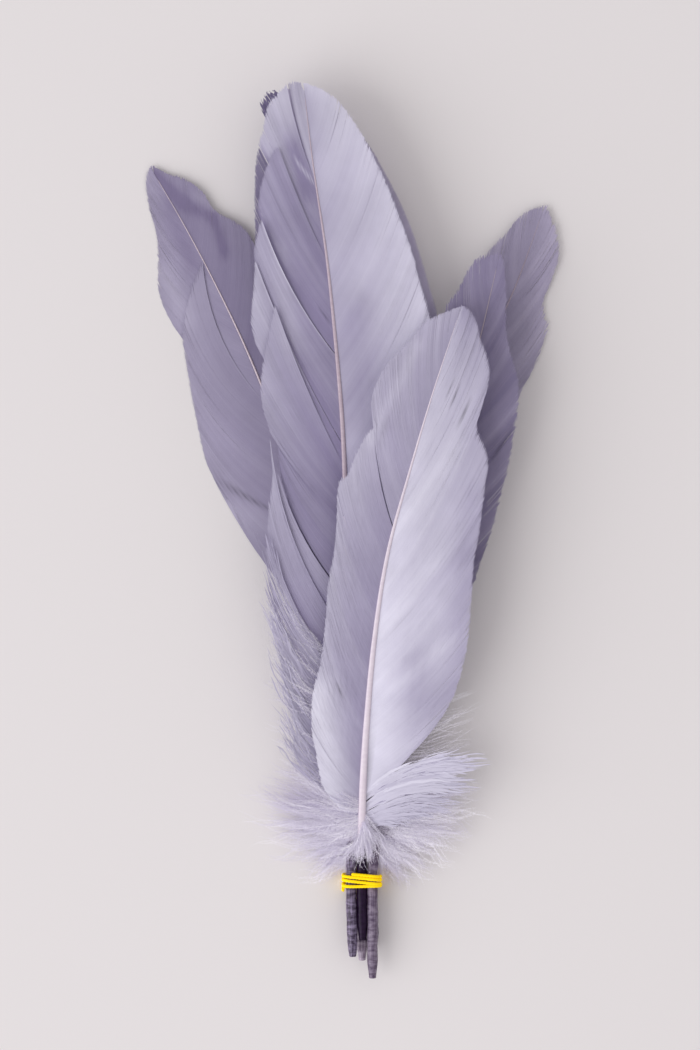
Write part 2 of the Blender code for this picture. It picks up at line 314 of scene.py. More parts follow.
def cut_blades(name, places, attributes, material):
    """A mesh of closed blades.  places is blades x rows x section points x 3, in millimetres."""
    blades, rows, corners = places.shape[:3]
    columns = corners + 1
    width = blades * columns
    mesh = grid_mesh(name, width - 1, rows - 1, 1.0)
    wrapped = np.concatenate([places, places[:, :, :1]], axis=2)
    laid_out = wrapped.transpose(1, 0, 2, 3).reshape(-1, 3) * MM
    mesh.vertices.foreach_set("co", laid_out.astype(np.float32).ravel())
    for label, values in attributes.items():
        layer = mesh.attributes.new(label, "FLOAT", "POINT")
        spread = np.broadcast_to(values[:, :, None], (blades, rows, columns))
        layer.data.foreach_set("value", spread.transpose(1, 0, 2).ravel().astype(np.float32))
    bake = mesh.uv_layers.new(name="OFBake")
    corner_of = np.empty(len(mesh.loops), np.int32)
    mesh.loops.foreach_get("vertex_index", corner_of)
    across = (corner_of % width) / (width - 1)
    up_along = (corner_of // width) / (rows - 1)
    bake.data.foreach_set("uv", np.stack([across, up_along], 1).astype(np.float32).ravel())
    shape = bmesh.new()
    shape.from_mesh(mesh)
    shape.faces.ensure_lookup_table()
    between = [f for f in shape.faces if f.index % (width - 1) % columns == columns - 1]
    bmesh.ops.delete(shape, geom=between, context="FACES")
    bmesh.ops.remove_doubles(shape, verts=shape.verts, dist=WELD_DISTANCE)
    bmesh.ops.recalc_face_normals(shape, faces=shape.faces)
    for face in shape.faces:
        face.smooth = True
    shape.to_mesh(mesh)
    shape.free()
    mesh.set_sharp_from_angle(angle=math.radians(SHARP_ANGLE))
    mesh.materials.append(material)
    return add_object(name, mesh)


# %% The height of a vane, and the girth of a shaft
VANE_FOOT = -66.0       # no vane starts lower than this y
NEAREST_BATCH = 4000    # places looked up at a time, which keeps the use of memory low
LEAST_HEIGHT = 0.06
CUP_REACH, CUP_POWER = 13.0, 1.6
FLARE_SHARE, FLARE_REACH = 0.6, 5.0
SHAFT_TIP, SHAFT_TAPER = 0.05, 0.93
# How fast each shaft thins, as the power of its taper from the tie to the tip.
TAPERS = {
    "front": 1.15, "centre": 0.9, "behind": 1.0,
    "right_middle": 1.2, "left": 1.3, "right_back": 1.2,
}


def girth_at(feather, y):
    """The radius of a shaft at a height y, in millimetres."""
    share = np.clip((y - TIE_Y) / (ridges[feather][-1, 1] - TIE_Y), 0, 1)
    return SHAFT_TIP + SHAFT_TAPER * (1 - share) ** TAPERS[feather]


def height_over(ridge, flat, cup):
    """The vane's height at flat places: its nearest ridge point's, and the rise of the cup."""
    spots = flat.reshape(-1, 2)
    line = ridge[ridge[:, 1] > VANE_FOOT][::2]
    heights = np.empty(len(spots))
    for start in range(0, len(spots), NEAREST_BATCH):
        part = spots[start : start + NEAREST_BATCH]
        gaps = np.linalg.norm(part[:, None] - line[None, :, :2], axis=2)
        near = gaps.argmin(axis=1)
        off = gaps[np.arange(len(part)), near]
        flare = FLARE_SHARE * (1 - np.exp(-off / FLARE_REACH))
        rise = (1 - FLARE_SHARE) * (off / CUP_REACH) ** CUP_POWER
        heights[start : start + NEAREST_BATCH] = line[near, 2] + cup * (flare + rise)
    return heights.reshape(flat.shape[:-1])


def slow_noise(chance, count, waves):
    """A smooth random line of about unit swing, with that many waves along it."""
    t = np.linspace(0, 1, count)
    line = np.zeros(count)
    for k in range(1, 5):
        line += np.sin(2 * np.pi * (waves * k / 2.5 * t + chance.random())) / k
    return line / 1.6


# %% Lay one lock of barbs
BARB_SPACING = 0.3      # real barbs stand 0.3 to 0.4 mm apart along the rachis
BARB_STATIONS = np.array([0, 0.03, 0.1, 0.2, 0.3, 0.4, 0.5, 0.6, 0.7, 0.8, 0.88, 0.94, 0.98, 1.0])
ROW_STEPS = 400
TIP_TRAVEL = 0.7        # how much a move of the tip counts beside the same move of the root
FEWEST_BARBS = 4
SWELL_WAVE, STREAK_WAVE = 7.0, 6.0      # millimetres of a lock's edge to one wave
HEIGHT_NOISE, TONE_NOISE = 0.012, 0.014


def lay_lock(chance, ridge, side, lock):
    """Centre lines of one lock of barbs, with their rise above the vane and their tone.

    A lock's grade is painted light: how its tone changes from root to tip as the cup turns the
    barb to and from the lamp.  Its under is a painted shadow, how dark and how far in millimetres
    the next lower lock shades its first barbs, and its edge is a painted highlight, how pale its
    last are.
    """
    fine = smooth_path(lock["rows"], np.linspace(0, 1, ROW_STEPS))
    tip_moves = np.linalg.norm(np.diff(fine[:, 1:], axis=0), axis=1)
    travel = np.hypot(np.diff(fine[:, 0]), TIP_TRAVEL * tip_moves)
    gone = np.concatenate([[0], np.cumsum(travel)])
    count = max(FEWEST_BARBS, int(gone[-1] / lock.get("spacing", BARB_SPACING)))
    want = (np.arange(count) + 0.5 + chance.uniform(-0.25, 0.25, count)) / count * gone[-1]
    barbs = along(fine, gone, want)
    u = want / gone[-1]
    root = along(ridge, ridge[:, 1], barbs[:, 0])
    shag, frizz = lock.get("shag", 0.12), lock.get("frizz", 0.0)
    reach = barbs[:, 1:] - root[:, :2]
    length = np.linalg.norm(reach, axis=1, keepdims=True)
    ahead = reach / length
    outward = side * np.stack([ahead[:, 1], -ahead[:, 0]], 1)
    tip = barbs[:, 1:] + ahead * chance.normal(0, shag, (count, 1))
    tip = tip + outward * chance.normal(0, shag * 0.4, (count, 1))
    bow = np.interp(u, (0, 1), lock.get("bow", (0.08, 0.08)))[:, None] * length
    control = (root[:, :2] + tip) / 2 + outward * bow
    flat = bend(root[:, :2], control, tip, BARB_STATIONS)
    if frizz:
        phase = chance.random((count, 1)) * 6.28
        swing = np.sin(BARB_STATIONS[None] * chance.uniform(14, 26, (count, 1)) + phase)
        flat = flat + outward[:, None] * (swing * frizz * BARB_STATIONS[None] ** 1.5)[:, :, None]
    first, last = lock.get("lift", (0.0, 0.0))
    lift = first * (1 - u) ** 2 + last * u**2
    joined = np.sin(np.pi * u) ** 0.5
    waves = slow_noise(chance, count, max(1.0, gone[-1] / SWELL_WAVE))
    swell = lock.get("swell", 0.12) * joined * waves
    rise = lift + swell + chance.normal(0, HEIGHT_NOISE + frizz * 0.3, count)
    rise = rise[:, None] * BARB_STATIONS[None] ** 1.2
    waves = slow_noise(chance, count, max(1.0, gone[-1] / STREAK_WAVE))
    tone = 0.5 + lock.get("tone", 0.0) + lock.get("streaks", 0.05) * joined * waves
    tone = tone + chance.normal(0, TONE_NOISE, count)
    # Painted light along each barb, as the cup turns it to and from the lamp.
    root_light, tip_light = lock.get("light_grade", (0.0, 0.0))
    light_grade = root_light + (tip_light - root_light) * BARB_STATIONS**1.4
    # Painted shadow on the first barbs, under the lower lock's edge; painted highlight on the last.
    dark, dark_in = lock.get("under", (0.0, 1.0))
    pale, pale_in = lock.get("edge", (0.0, 0.4))
    lit = pale * np.exp(-(((gone[-1] - want) / pale_in) ** 2))
    lit = lit - dark * np.exp(-((want / dark_in) ** 2))
    shown = np.interp(BARB_STATIONS, [0.0, 0.15, 0.9, 1.0], [0.3, 1.0, 1.0, 0.6])
    return flat, rise, tone[:, None] + light_grade[None] + lit[:, None] * shown[None]


# %% Comb one side of a feather
BARB_OVERLAP = 1.5
NARROWEST, WIDEST = 0.05, 1.2           # of a blade, in millimetres
BARB_THICKNESS = 0.03
BLADE_LEAN = 0.03
FOLD_REACH, FOLD_EDGE = 2.5, 0.3
SEAM_SHADE, SEAM_WIDTH = {-1: 0.12, 1: 0.4}, 0.25


def spread_of(flat):
    """How far apart neighbouring barbs lie at each station, square to their run."""
    run = unit(np.gradient(flat, axis=1))
    step = np.gradient(flat, axis=0)
    return np.abs(run[..., 0] * step[..., 1] - run[..., 1] * step[..., 0])


def beside(flat, x0, y0, x1, y1):
    """For each place, the share of the line x0, y0 to x1, y1 it lies beside, and its offset."""
    start, run = np.array((x0, y0)), np.array((x1 - x0, y1 - y0))
    t = np.clip(((flat - start) @ run) / (run @ run), 0, 1)
    return t, flat - (start + t[..., None] * run)


def comb_side(feather, hand, seed):
    """One side of a vane, left or right, as one piece of many barbs."""
    chance = np.random.default_rng(seed)
    design, ridge = VANES[feather], ridges[feather]
    turn = ("left", "right").index(hand)
    side, cup = (-1, 1)[turn], design["cup"][turn]
    laid = []
    for lock in design[hand]:
        flat, rise, tone = lay_lock(chance, ridge, side, lock)
        half = 0.5 * BARB_OVERLAP * np.clip(spread_of(flat), NARROWEST, WIDEST)
        split = np.interp(BARB_STATIONS, [0.35, 1.0], [1.0, lock.get("split", 1.0)])
        half = half * lock.get("fill", 1.0) * split
        laid.append((flat, height_over(ridge, flat, cup) + rise, half, tone))
    flat, height, half, tone = (np.concatenate(parts) for parts in zip(*laid))
    shade = np.zeros_like(height)
    # Each crease folds the height, and its dark value is painted shade along the fold.
    for *line, width, step, dark in design.get(hand + "_creases", ()):
        t, off = beside(flat, *line)
        gap = np.linalg.norm(off, axis=-1)
        fade = np.sin(np.pi * np.clip(t, 0.02, 0.98)) ** 0.5
        fold = step * fade * np.sign(off[..., 0]) * np.exp(-gap / FOLD_REACH)
        height = height + fold * np.clip(gap / FOLD_EDGE, 0, 1)
        shade = shade + dark * fade * np.exp(-((gap / width) ** 2))
    # Washes are painted light and shade, laid along lines as soft changes of tone.
    for *line, width, change in design.get(hand + "_light_washes", ()):
        gap = np.linalg.norm(beside(flat, *line)[1], axis=-1)
        tone = tone + change * np.exp(-((gap / width) ** 2))
    tone = np.clip(tone, 0.05, 1.0)
    height = np.maximum(height, LEAST_HEIGHT)
    # Painted shadow along the seam where the barbs leave the rachis, most on its right side,
    # which the rachis shades.
    from_root = np.linalg.norm(flat - flat[:, :1], axis=-1) - girth_at(feather, flat[:, :1, 1])
    shade = shade + SEAM_SHADE[side] * np.exp(-((np.maximum(from_root, 0.0) / SEAM_WIDTH) ** 2))
    half = half * np.interp(BARB_STATIONS, [0, 0.03, 0.97, 1.0], [0.0, 1.0, 1.0, 0.0])
    thin = np.interp(BARB_STATIONS, [0, 0.03, 0.9, 1.0], [0.0, 1.0, 0.45, 0.0])
    centre = np.concatenate([flat, height[..., None]], 2)
    over, upward = square_to(unit(np.gradient(centre, axis=1)), UP)
    wide = half[..., None] * (over - side * BLADE_LEAN * upward)
    high = (0.5 * BARB_THICKNESS * thin)[None, :, None] * upward
    places = np.stack([centre - wide, centre + high, centre + wide, centre - high], 2)
    piece = cut_blades(
        f"vane_{feather}_{hand}", places, {"tone": tone, "shade": shade},
        VANE_FINISHES[design["slot"]],
    )
    triangles = 2 * len(piece.data.polygons)
    print(f"{piece.name}: {len(flat)} barbs, {triangles} triangles at most")
    return piece


# %% [markdown]
# ## The vanes
#
# The front feather is the least disturbed, and the feather in the centre is split into locks
# along its left side.  Where two locks part, the one nearer the quill rides over the next, and
# its edge throws a thin shadow, deepened by painted shade, with a painted highlight along the
# edge.  A lock's tone is partly its dye and partly painted light and shade, such as the darker
# tones on the left vanes of the front and centre feathers, which face away from the lamp.  Three
# numbers in a row are the root's y, and the tip's x and y.  A crease is a line from x, y to x, y,
# then its width, the step in height across it, and how dark its painted shade is.  A wash is
# such a line, its width and its change of tone, which is painted light and shade.

# %% Rows of barbs on each feather
VANES = {}
VANES["front"] = dict(
    slot="vane_light", cup=(1.6, 2.2),
    left=[dict(rows=[
        (-60, -2.5, -58.5), (-59, -6.1, -53.6), (-57.8, -7.6, -47), (-56, -8.6, -40.5),
        (-53, -8.3, -33.5), (-48, -6.7, -27), (-41, -5.6, -18), (-34, -5.1, -11), (-27, -3.9, -4),
        (-21, -3.3, 2), (-15, -3.1, 8), (-12, -2.6, 11.3), (-9.5, -0.9, 12.6), (-5, 0.9, 17),
        (-1, 3, 21), (1, 4.7, 22.8),
    ], lift=(0, 0.1), bow=(0.09, 0.08), tone=-0.24, light_grade=(-0.06, 0.32)), dict(rows=[
        (1.3, 5, 23.4), (2.5, 4.3, 26), (5.5, 4.3, 29.5), (9.5, 6.2, 34.2), (14, 8.7, 37.4),
        (19, 12.3, 41), (25, 15.5, 44.7), (32, 18.3, 46.3), (38, 20.6, 47.1), (43, 22.2, 47.7),
        (46.5, 23.2, 48),
    ], lift=(0.1, 0), bow=(0.08, 0.05), tone=-0.18, light_grade=(0, 0.16))],
    left_creases=[(8, 27.2, 5.5, 20, 0.45, 0.25, 0.18), (-3.4, -31.6, -1.6, -34.8, 0.22, 0.2, 0.6)],
    left_light_washes=[(-7.6, -34, -3, -58, 4, 0.5), (4, 20, 14, 40, 1.2, 0.15)],
    right=[dict(rows=[
        (-62.2, 12, -61), (-61.2, 19, -58.6), (-60.5, 22.5, -56.6), (-60, 20, -55.2),
    ], bow=(-0.1, -0.2), shag=1.8, frizz=0.3, fill=0.75, split=0.12, spacing=0.11, tone=0.15,
       edge=(0.15, 0.6)), dict(rows=[
        (-59.6, 18, -54), (-58.8, 23.5, -53.8), (-58.2, 24.5, -52.6), (-57.8, 20, -51.4),
    ], bow=(-0.2, -0.22), shag=1.8, frizz=0.25, fill=0.9, split=0.12, spacing=0.1, tone=0.22,
       under=(0.5, 0.5), edge=(0.2, 0.6)), dict(rows=[
        (-57.2, 19, -49.6), (-56.8, 25, -50), (-56.3, 26, -48.8), (-55.8, 18, -47.1),
    ], bow=(-0.2, -0.16), shag=1.8, frizz=0.2, fill=0.95, split=0.12, spacing=0.1, tone=0.25,
       under=(0.7, 0.5), edge=(0.2, 0.6)), dict(rows=[
        (-55.5, 12.5, -46.5), (-54, 17, -41.5), (-52, 20.4, -36.5), (-49, 22.9, -30.5),
        (-44.5, 24.6, -22), (-39.5, 25.3, -14), (-34, 25.8, -6), (-28, 27, 1), (-22, 28.3, 11),
        (-19.5, 28.8, 15.5), (-17.6, 27.9, 18.8), (-16.2, 26.6, 21.6), (-14.4, 26.4, 23.6),
        (-11, 27.2, 26.4), (-6, 28.9, 32.4), (-1, 28.8, 36.5), (6, 27.2, 41), (13, 26.6, 43.8),
        (22, 25.7, 46), (30, 24.8, 47.2), (38, 24, 47.8), (46.5, 23.4, 48),
    ], bow=(0.08, 0.06), swell=0.2, tone=0.14, light_grade=(0.18, -0.18))],
    right_creases=[
        (20.1, 31.6, 24.8, 23.4, 0.35, 0.08, 0.5), (7, -22.5, 14.5, -14, 0.2, 0.05, 0.12),
    ],
    right_light_washes=[
        (9.5, -32.4, 20.5, -22.7, 1.6, 0.2), (13.1, -41.6, 21.7, -32.4, 3, -0.15),
        (12, 30, 22, 46, 6, -0.2), (5, -45, 5, 0, 3.5, 0.12), (13, -34, 14, -28, 4, -0.32),
        (9, 0, 22, 18, 2, 0.15), (25, 8, 22, -25, 3, -0.14), (6, -20, 18, -6, 1.8, 0.1),
        (14, -12, 24, -4, 1.6, -0.1),
    ],
)
VANES["centre"] = dict(
    slot="vane_light", cup=(2, 1.8),
    left=[dict(rows=[
        (-58, -14.6, -45.6), (-54, -13.6, -37.3), (-49, -14.6, -29.3), (-44, -16.5, -21.2),
        (-39, -17.6, -13.5),
    ], bow=(0.12, 0.12), shag=1.6, frizz=0.35, fill=0.8, swell=0.3, split=0.12, spacing=0.15,
       tone=-0.2, light_grade=(-0.1, 0.25)), dict(rows=[
        (-38.5, -17.8, -12.5), (-35, -18.3, -6), (-31, -17.6, 0),
    ], lift=(0, 0.6), bow=(0.12, 0.14), shag=0.9, frizz=0.15, split=0.25, spacing=0.2, tone=-0.15,
       under=(0.15, 2)), dict(rows=[
        (-30.5, -18, 0.5), (-28, -17.6, 6), (-25, -16.8, 13), (-22, -17.3, 20.6),
    ], lift=(-0.2, 0.8), bow=(0.14, 0.14), tone=-0.2, light_grade=(-0.15, 0.15), under=(0.25, 2),
       edge=(0.2, 0.5)), dict(rows=[
        (-21.5, -15.2, 7), (-14, -15.8, 13),
    ], lift=(-0.5, 0.3), bow=(0.14, 0.12), tone=-0.2, under=(0.3, 2.5)), dict(rows=[
        (-13.5, -15, 12), (-5, -15.5, 16), (1.5, -15.8, 22),
    ], lift=(-0.7, -0.3), bow=(0.12, 0.08), tone=-0.38), dict(rows=[
        (2, -17.3, 21.5), (3.5, -19, 27), (5.5, -19.4, 31.5), (8, -18.8, 36.5), (11, -17.5, 43),
        (14, -16.4, 48.5),
    ], lift=(0.3, 1), bow=(0.08, 0.04), tone=-0.2, light_grade=(-0.22, 0.1), edge=(0.1, 0.6)),
    dict(rows=[
        (14.2, -18.5, 37), (14.8, -20.5, 40.5), (15.8, -21.4, 45), (17, -21, 51), (18.5, -20.5, 58),
    ], lift=(-0.4, 0.3), bow=(0.04, 0.05), tone=-0.22, light_grade=(-0.3, 0.25), under=(0.45, 2.2),
       edge=(0.2, 0.6)), dict(rows=[
        (18.8, -20.6, 58), (24, -20.7, 60), (30, -20.2, 63), (37.5, -19.2, 66.5),
    ], lift=(-0.3, 0.8), bow=(0.05, 0.09), tone=-0.24, light_grade=(-0.12, 0.12), under=(0.4, 2.6),
       edge=(0.4, 0.45)), dict(rows=[
        (37.8, -19.4, 67), (43, -19.9, 70), (49, -18.9, 75), (54, -17.2, 79.8), (57.5, -15.7, 81.8),
    ], lift=(-0.5, 0.6), bow=(0.09, 0.03), tone=-0.32, light_grade=(-0.08, 0.06), under=(0.45, 3.2),
       edge=(0.08, 0.6)), dict(rows=[
        (57.8, -19.9, 82.3), (62, -18.8, 85.5), (66, -18.2, 89.5), (70, -16.9, 92), (74, -13.8, 95),
    ], lift=(-0.6, 0.35), bow=(0.03, 0.05), tone=-0.14, light_grade=(-0.22, 0.25), under=(0.35, 2),
       edge=(0.1, 0.5)), dict(rows=[
        (74.2, -13.5, 95.3), (80, -12.4, 95.6), (86, -11.6, 95.6), (93.5, -10.8, 95.4),
    ], lift=(-0.1, 0), bow=(0.05, 0.05), tone=0.05, under=(0.45, 1.1))],
    left_creases=[(-5.6, 46.2, -6.6, 45.2, 0.2, 0.1, 0.5)],
    left_light_washes=[
        (-12.8, 82, -9.8, 72, 1.7, -0.22), (-11.7, 78.6, -8.4, 74.6, 0.3, 0.45),
        (-15.5, 60, -12.5, 40, 2, 0.15), (-13.5, 88, -15, 92, 2, 0.15),
    ],
    right=[dict(rows=[
        (-58, 0.8, -56), (-54, 4, -45), (-47, 8, -30), (-38, 12, -14), (-27, 15.5, 2),
        (-14, 17.6, 20), (-2, 18.1, 32), (7, 17.4, 42), (15, 15.8, 48.8), (22, 14.4, 53.5),
        (31, 12.6, 60.3), (40, 10.2, 67), (49, 7.2, 74.5), (58, 3.8, 81.6), (67, 0.6, 87),
        (77, -3, 91.7), (85, -6.6, 94.2), (93.5, -10.4, 95.4),
    ], bow=(0.07, 0.07), swell=0.15, light_grade=(-0.06, 0.3))],
    right_light_washes=[(1, 46, 3, 25, 4.5, -0.2), (-6, 75, -2, 88, 3.5, 0.08)],
)
VANES["behind"] = dict(
    slot="vane_dark", cup=(1.4, 1),
    left=[dict(rows=[
        (-48, -3, -44), (-38, -7, -30), (-27, -10, -16), (-15, -12.6, 0), (-3, -14.8, 14),
        (9, -16.8, 29), (20, -18.8, 42), (31, -20.2, 55), (42, -20.6, 65), (52, -20.7, 73),
        (60, -20.4, 79), (65, -19.8, 82),
    ], tone=-0.2), dict(rows=[
        (65.5, -17.8, 82), (71, -17.4, 86), (76, -18, 89),
    ], tone=-0.35), dict(rows=[
        (77, -18.9, 89.8), (82, -19.1, 91.3), (87, -18.4, 93.2), (93, -16.4, 94),
    ], tone=-0.5, shag=0.3, frizz=0.1)],
    right=[dict(rows=[
        (-48, 3, -44), (-38, 6, -30), (-27, 9, -16), (-15, 12, 0), (-4, 14.6, 13), (7, 16.6, 27),
        (17, 18, 38), (26, 18.3, 46), (35, 16.6, 52.5), (44, 14.4, 60), (53, 11.5, 68),
        (62, 7.5, 76), (70, 3, 83.5), (78, -3, 89.5), (86, -9, 93), (93, -13.8, 94.6),
    ], tone=0.45, shag=0.03)],
)
VANES["right_middle"] = dict(
    slot="vane_dark", cup=(1.3, 1.3),
    left=[dict(rows=[
        (-50, 7, -48), (-42, 8, -36), (-32, 9.5, -22), (-22, 11.5, -8), (-11, 13.5, 7),
        (0, 15.5, 20), (10, 17, 32), (18, 18.5, 42), (25, 20, 48), (32, 22.5, 51.8),
        (38, 24.4, 55.5), (45, 26.4, 58.2), (51, 29, 58.9), (57.5, 30.9, 59.4),
    ], tone=-0.18, streaks=0.14, shag=0.2)],
    right=[dict(rows=[
        (-50, 10, -48), (-42, 16, -36), (-33, 21, -24), (-24, 25, -13), (-17, 27.6, -5.3),
        (-11, 30, 2), (-5, 31.6, 8.5), (1, 33.3, 15), (7, 34.4, 21.5), (12, 35.3, 27.5),
        (18, 35.3, 32), (25, 33.3, 40), (32, 32.5, 45), (39, 32.7, 50.5), (46, 32.4, 55),
        (52, 31.9, 57.8), (57.5, 31.3, 59.4),
    ], tone=-0.2, streaks=0.14, shag=0.2)],
    right_creases=[(34.3, 22.5, 29.3, 15.1, 0.3, 0.2, 0.2)],
)
VANES["left"] = dict(
    slot="vane_grey", cup=(-1.9, 0.2),
    left=[dict(rows=[
        (-24, -18.2, -0.8), (-21.5, -22, 3), (-19, -26, 7), (-16.5, -28.8, 10.8),
        (-13, -30.1, 13.2), (-8, -31.5, 16.4), (-2, -32.7, 21.5), (5, -34, 28), (12, -35.4, 36),
        (18, -36.2, 43), (23, -34.8, 51), (27, -31.8, 58.7),
    ], lift=(0, 0.45), bow=(0.1, 0.19), tone=-0.12, light_grade=(-0.05, 0.2), edge=(0.15, 0.8)),
    dict(rows=[
        (28, -37, 43), (31, -39.9, 47.7), (36, -41.5, 53), (42, -41.5, 59.5), (48, -42, 65),
        (55, -43.4, 70), (62, -44, 74.5), (69, -43.8, 77), (77, -42.9, 78.6),
    ], lift=(-0.2, 0), bow=(0.18, 0.1), tone=-0.08, light_grade=(-0.05, 0.1), under=(0.2, 2.5))],
    left_creases=[(-28.6, 11.2, -17, 5, 0.4, 0.12, 0.45)],
    left_light_washes=[
        (-25, 5.5, -18, 1, 2.2, 0.2), (-39, 70, -34, 57, 2.6, -0.2), (-39.5, 56, -36, 46, 2.6, 0.2),
    ],
    right=[dict(rows=[
        (-48, -2, -44), (-38, -2.2, -28), (-26, -2.6, -12), (-14, -3.6, 2), (-3, -5.2, 14),
        (7, -8, 26), (15, -11.5, 37), (22, -14.8, 46), (29, -18, 54.5), (36, -20.6, 61.5),
        (42, -23, 65.3), (48, -26, 67.4), (54, -29.4, 69.4), (60, -32, 73.2), (66, -35.8, 75.9),
        (71, -39, 76.8), (77, -42.5, 78.6),
    ], tone=-0.28, light_grade=(0, 0.1))],
    right_light_washes=[
        (-43.5, 77.5, -36, 70.8, 1.4, -0.3), (-35.8, 70.4, -30, 67.9, 1.3, -0.25),
        (-29.5, 67.4, -27.2, 60, 1.1, -0.25), (-33, 72, -27, 69, 1.5, 0.15),
    ],
)
VANES["right_back"] = dict(
    slot="vane_dark", cup=(1.2, 1.2),
    left=[dict(rows=[
        (-48, 7.5, -44), (-38, 9, -30), (-27, 11, -16), (-16, 13.2, -1), (-5, 16, 14),
        (6, 19.5, 28), (15, 22.5, 40), (23, 25.5, 50), (31, 28.5, 59), (37, 30.8, 62.3),
        (43, 33.5, 64.8), (50, 35.2, 67.2), (57, 37.4, 68.8), (63, 39.4, 69.6), (68.5, 40.9, 70),
    ], tone=0.12, streaks=0.12, shag=0.2)],
    right=[dict(rows=[
        (-48, 11, -46), (-38, 16, -33), (-27, 21, -19), (-16, 25.5, -5), (-5, 29, 7), (4, 32, 18),
        (12, 35.4, 29), (19, 39, 36), (25, 41.6, 43.5), (30, 40.9, 49.5), (35, 42.5, 54.5),
        (41, 44.1, 58.8), (47, 44.1, 62), (53, 43.2, 66), (59, 42, 68.5), (68.5, 41.2, 70),
    ], tone=0.15, light_grade=(0, 0.15), streaks=0.16, shag=0.3)],
)

# %% Comb both sides of every feather
for number, (feather, design) in enumerate(VANES.items()):
    for turn, hand in enumerate(("left", "right")):
        vane = comb_side(feather, hand, 100 + 10 * number + turn)
        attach(vane, "root")
        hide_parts("feather_" + feather)

# %% [markdown]
# ## Quill and rachis
#
# The shaft is one horn rod.  Where it carries the vane it is pale and solid, with a shallow
# groove along it, and it thins towards the tip.  Below the vane it is a hollow quill, which took
# the dye darkest.  The two are made as one run of rings each, like sausages on a lathe, and the
# quill's thin upper end sits inside the foot of the rachis, hidden in the down.

# %% Rachis and quill finishes


def horn(name, deep, pale, roughness, coat, shine=0.5):
    """Dyed keratin rod: fine lengthwise grain, with paler scuffs across it."""
    material, tree, shader = new_material(
        name,
        {
            "Roughness": roughness, "IOR": KERATIN_IOR, "Specular IOR Level": shine,
            "Coat Weight": coat, "Coat Roughness": 0.2,
        },
    )

    def stretched(x, y, z):
        """Places divided by sizes in millimetres, so that a noise of scale 1 has those sizes."""
        scale = {"Scale": (1 / (x * MM), 1 / (y * MM), 1 / (z * MM))}
        mapping = add_node(tree, "ShaderNodeMapping", {}, scale, {"Vector": object_place(tree)})
        return mapping.outputs["Vector"]

    # Grain 0.25 mm wide and 6 mm long runs with the shaft, and creases 0.7 mm apart run across.
    grain = noise(tree, stretched(0.25, 6, 0.25), 1.0, 2.0)
    crease = noise(tree, stretched(2, 0.7, 2), 1.0, 3.0, 0.6)
    both = add_node(
        tree, "ShaderNodeMath", {"operation": "MULTIPLY_ADD"}, {1: 0.7}, {0: grain, 2: crease}
    ).outputs["Value"]
    worn = add_node(
        tree, "ShaderNodeMapRange", {}, {"From Min": 0.7, "From Max": 1.05}, {"Value": both}
    )
    colour = dye_mix(tree, deep, pale, worn.outputs["Result"])
    tree.links.new(colour, shader.inputs["Base Color"])
    add_bump(tree, shader, both, 0.35, 0.06 * MM)
    return material


RACHIS_FINISHES = {
    feather: horn("goose rachis horn, " + look, deep, pale, 0.45, 0.1)
    for feather, look, deep, pale in (
        ("front", "pale", "#dccfdd", "#e4d9e4"),
        ("centre", "rose grey", "#b7a5b3", "#c3b3bf"),
        ("behind", "grey", "#a898a8", "#b3a5b3"),
        ("right_middle", "brown grey", "#a3959f", "#b3a5b0"),
        ("left", "rose", "#c9b8c2", "#d5c6cf"),
        ("right_back", "dull rose", "#b09fae", "#bcadba"),
    )
}
QUILL_FINISHES = {
    feather: horn("goose quill, " + look, deep, pale, *gloss)
    for feather, look, deep, pale, gloss in (
        ("front", "dyed black plum", "#1a0b24", "#2c1938", (0.3, 0.0, 0.12)),
        ("centre", "dyed plum", "#33243f", "#8c7f9d", (0.35, 0.1, 0.3)),
        ("behind", "mauve cut end", "#7d6c82", "#b3a6b8", (0.4, 0.1, 0.3)),
        ("right_middle", "grey plum", "#4e3d58", "#8a7d91", (0.4, 0.1, 0.3)),
        ("left", "dyed plum, low left", "#33233f", "#7b6d8a", (0.3, 0.4)),
        ("right_back", "dyed plum, low right", "#3c2c47", "#7b6d8a", (0.3, 0.4)),
    )
}

# %% Shaft pieces
QUILL_TOP = -64.0
SHAFT_CORNERS = 20
GROOVE_DEPTH, GROOVE_ANGLE = 0.12, 0.5
RACHIS_STEP, QUILL_STEP = 1.2, 0.9


def ring_run(name, centre, radii, material, groove=0.0):
    """A closed rod of rings round a centre line, in millimetres.  It stays above the floor."""
    centre[:, 2] = np.maximum(centre[:, 2], radii + LEAST_HEIGHT)
    over, upward = square_to(unit(np.gradient(centre, axis=0)), UP)
    angle = np.arange(SHAFT_CORNERS) / SHAFT_CORNERS * 2 * math.pi
    dent = 1 - groove * np.exp(-(((angle - math.pi / 2) / GROOVE_ANGLE) ** 2))
    x = (dent * np.cos(angle))[None, :, None]
    z = (dent * np.sin(angle))[None, :, None]
    places = centre[:, None] + radii[:, None, None] * (x * over[:, None] + z * upward[:, None])
    return cut_blades(name, places[None], {}, material)


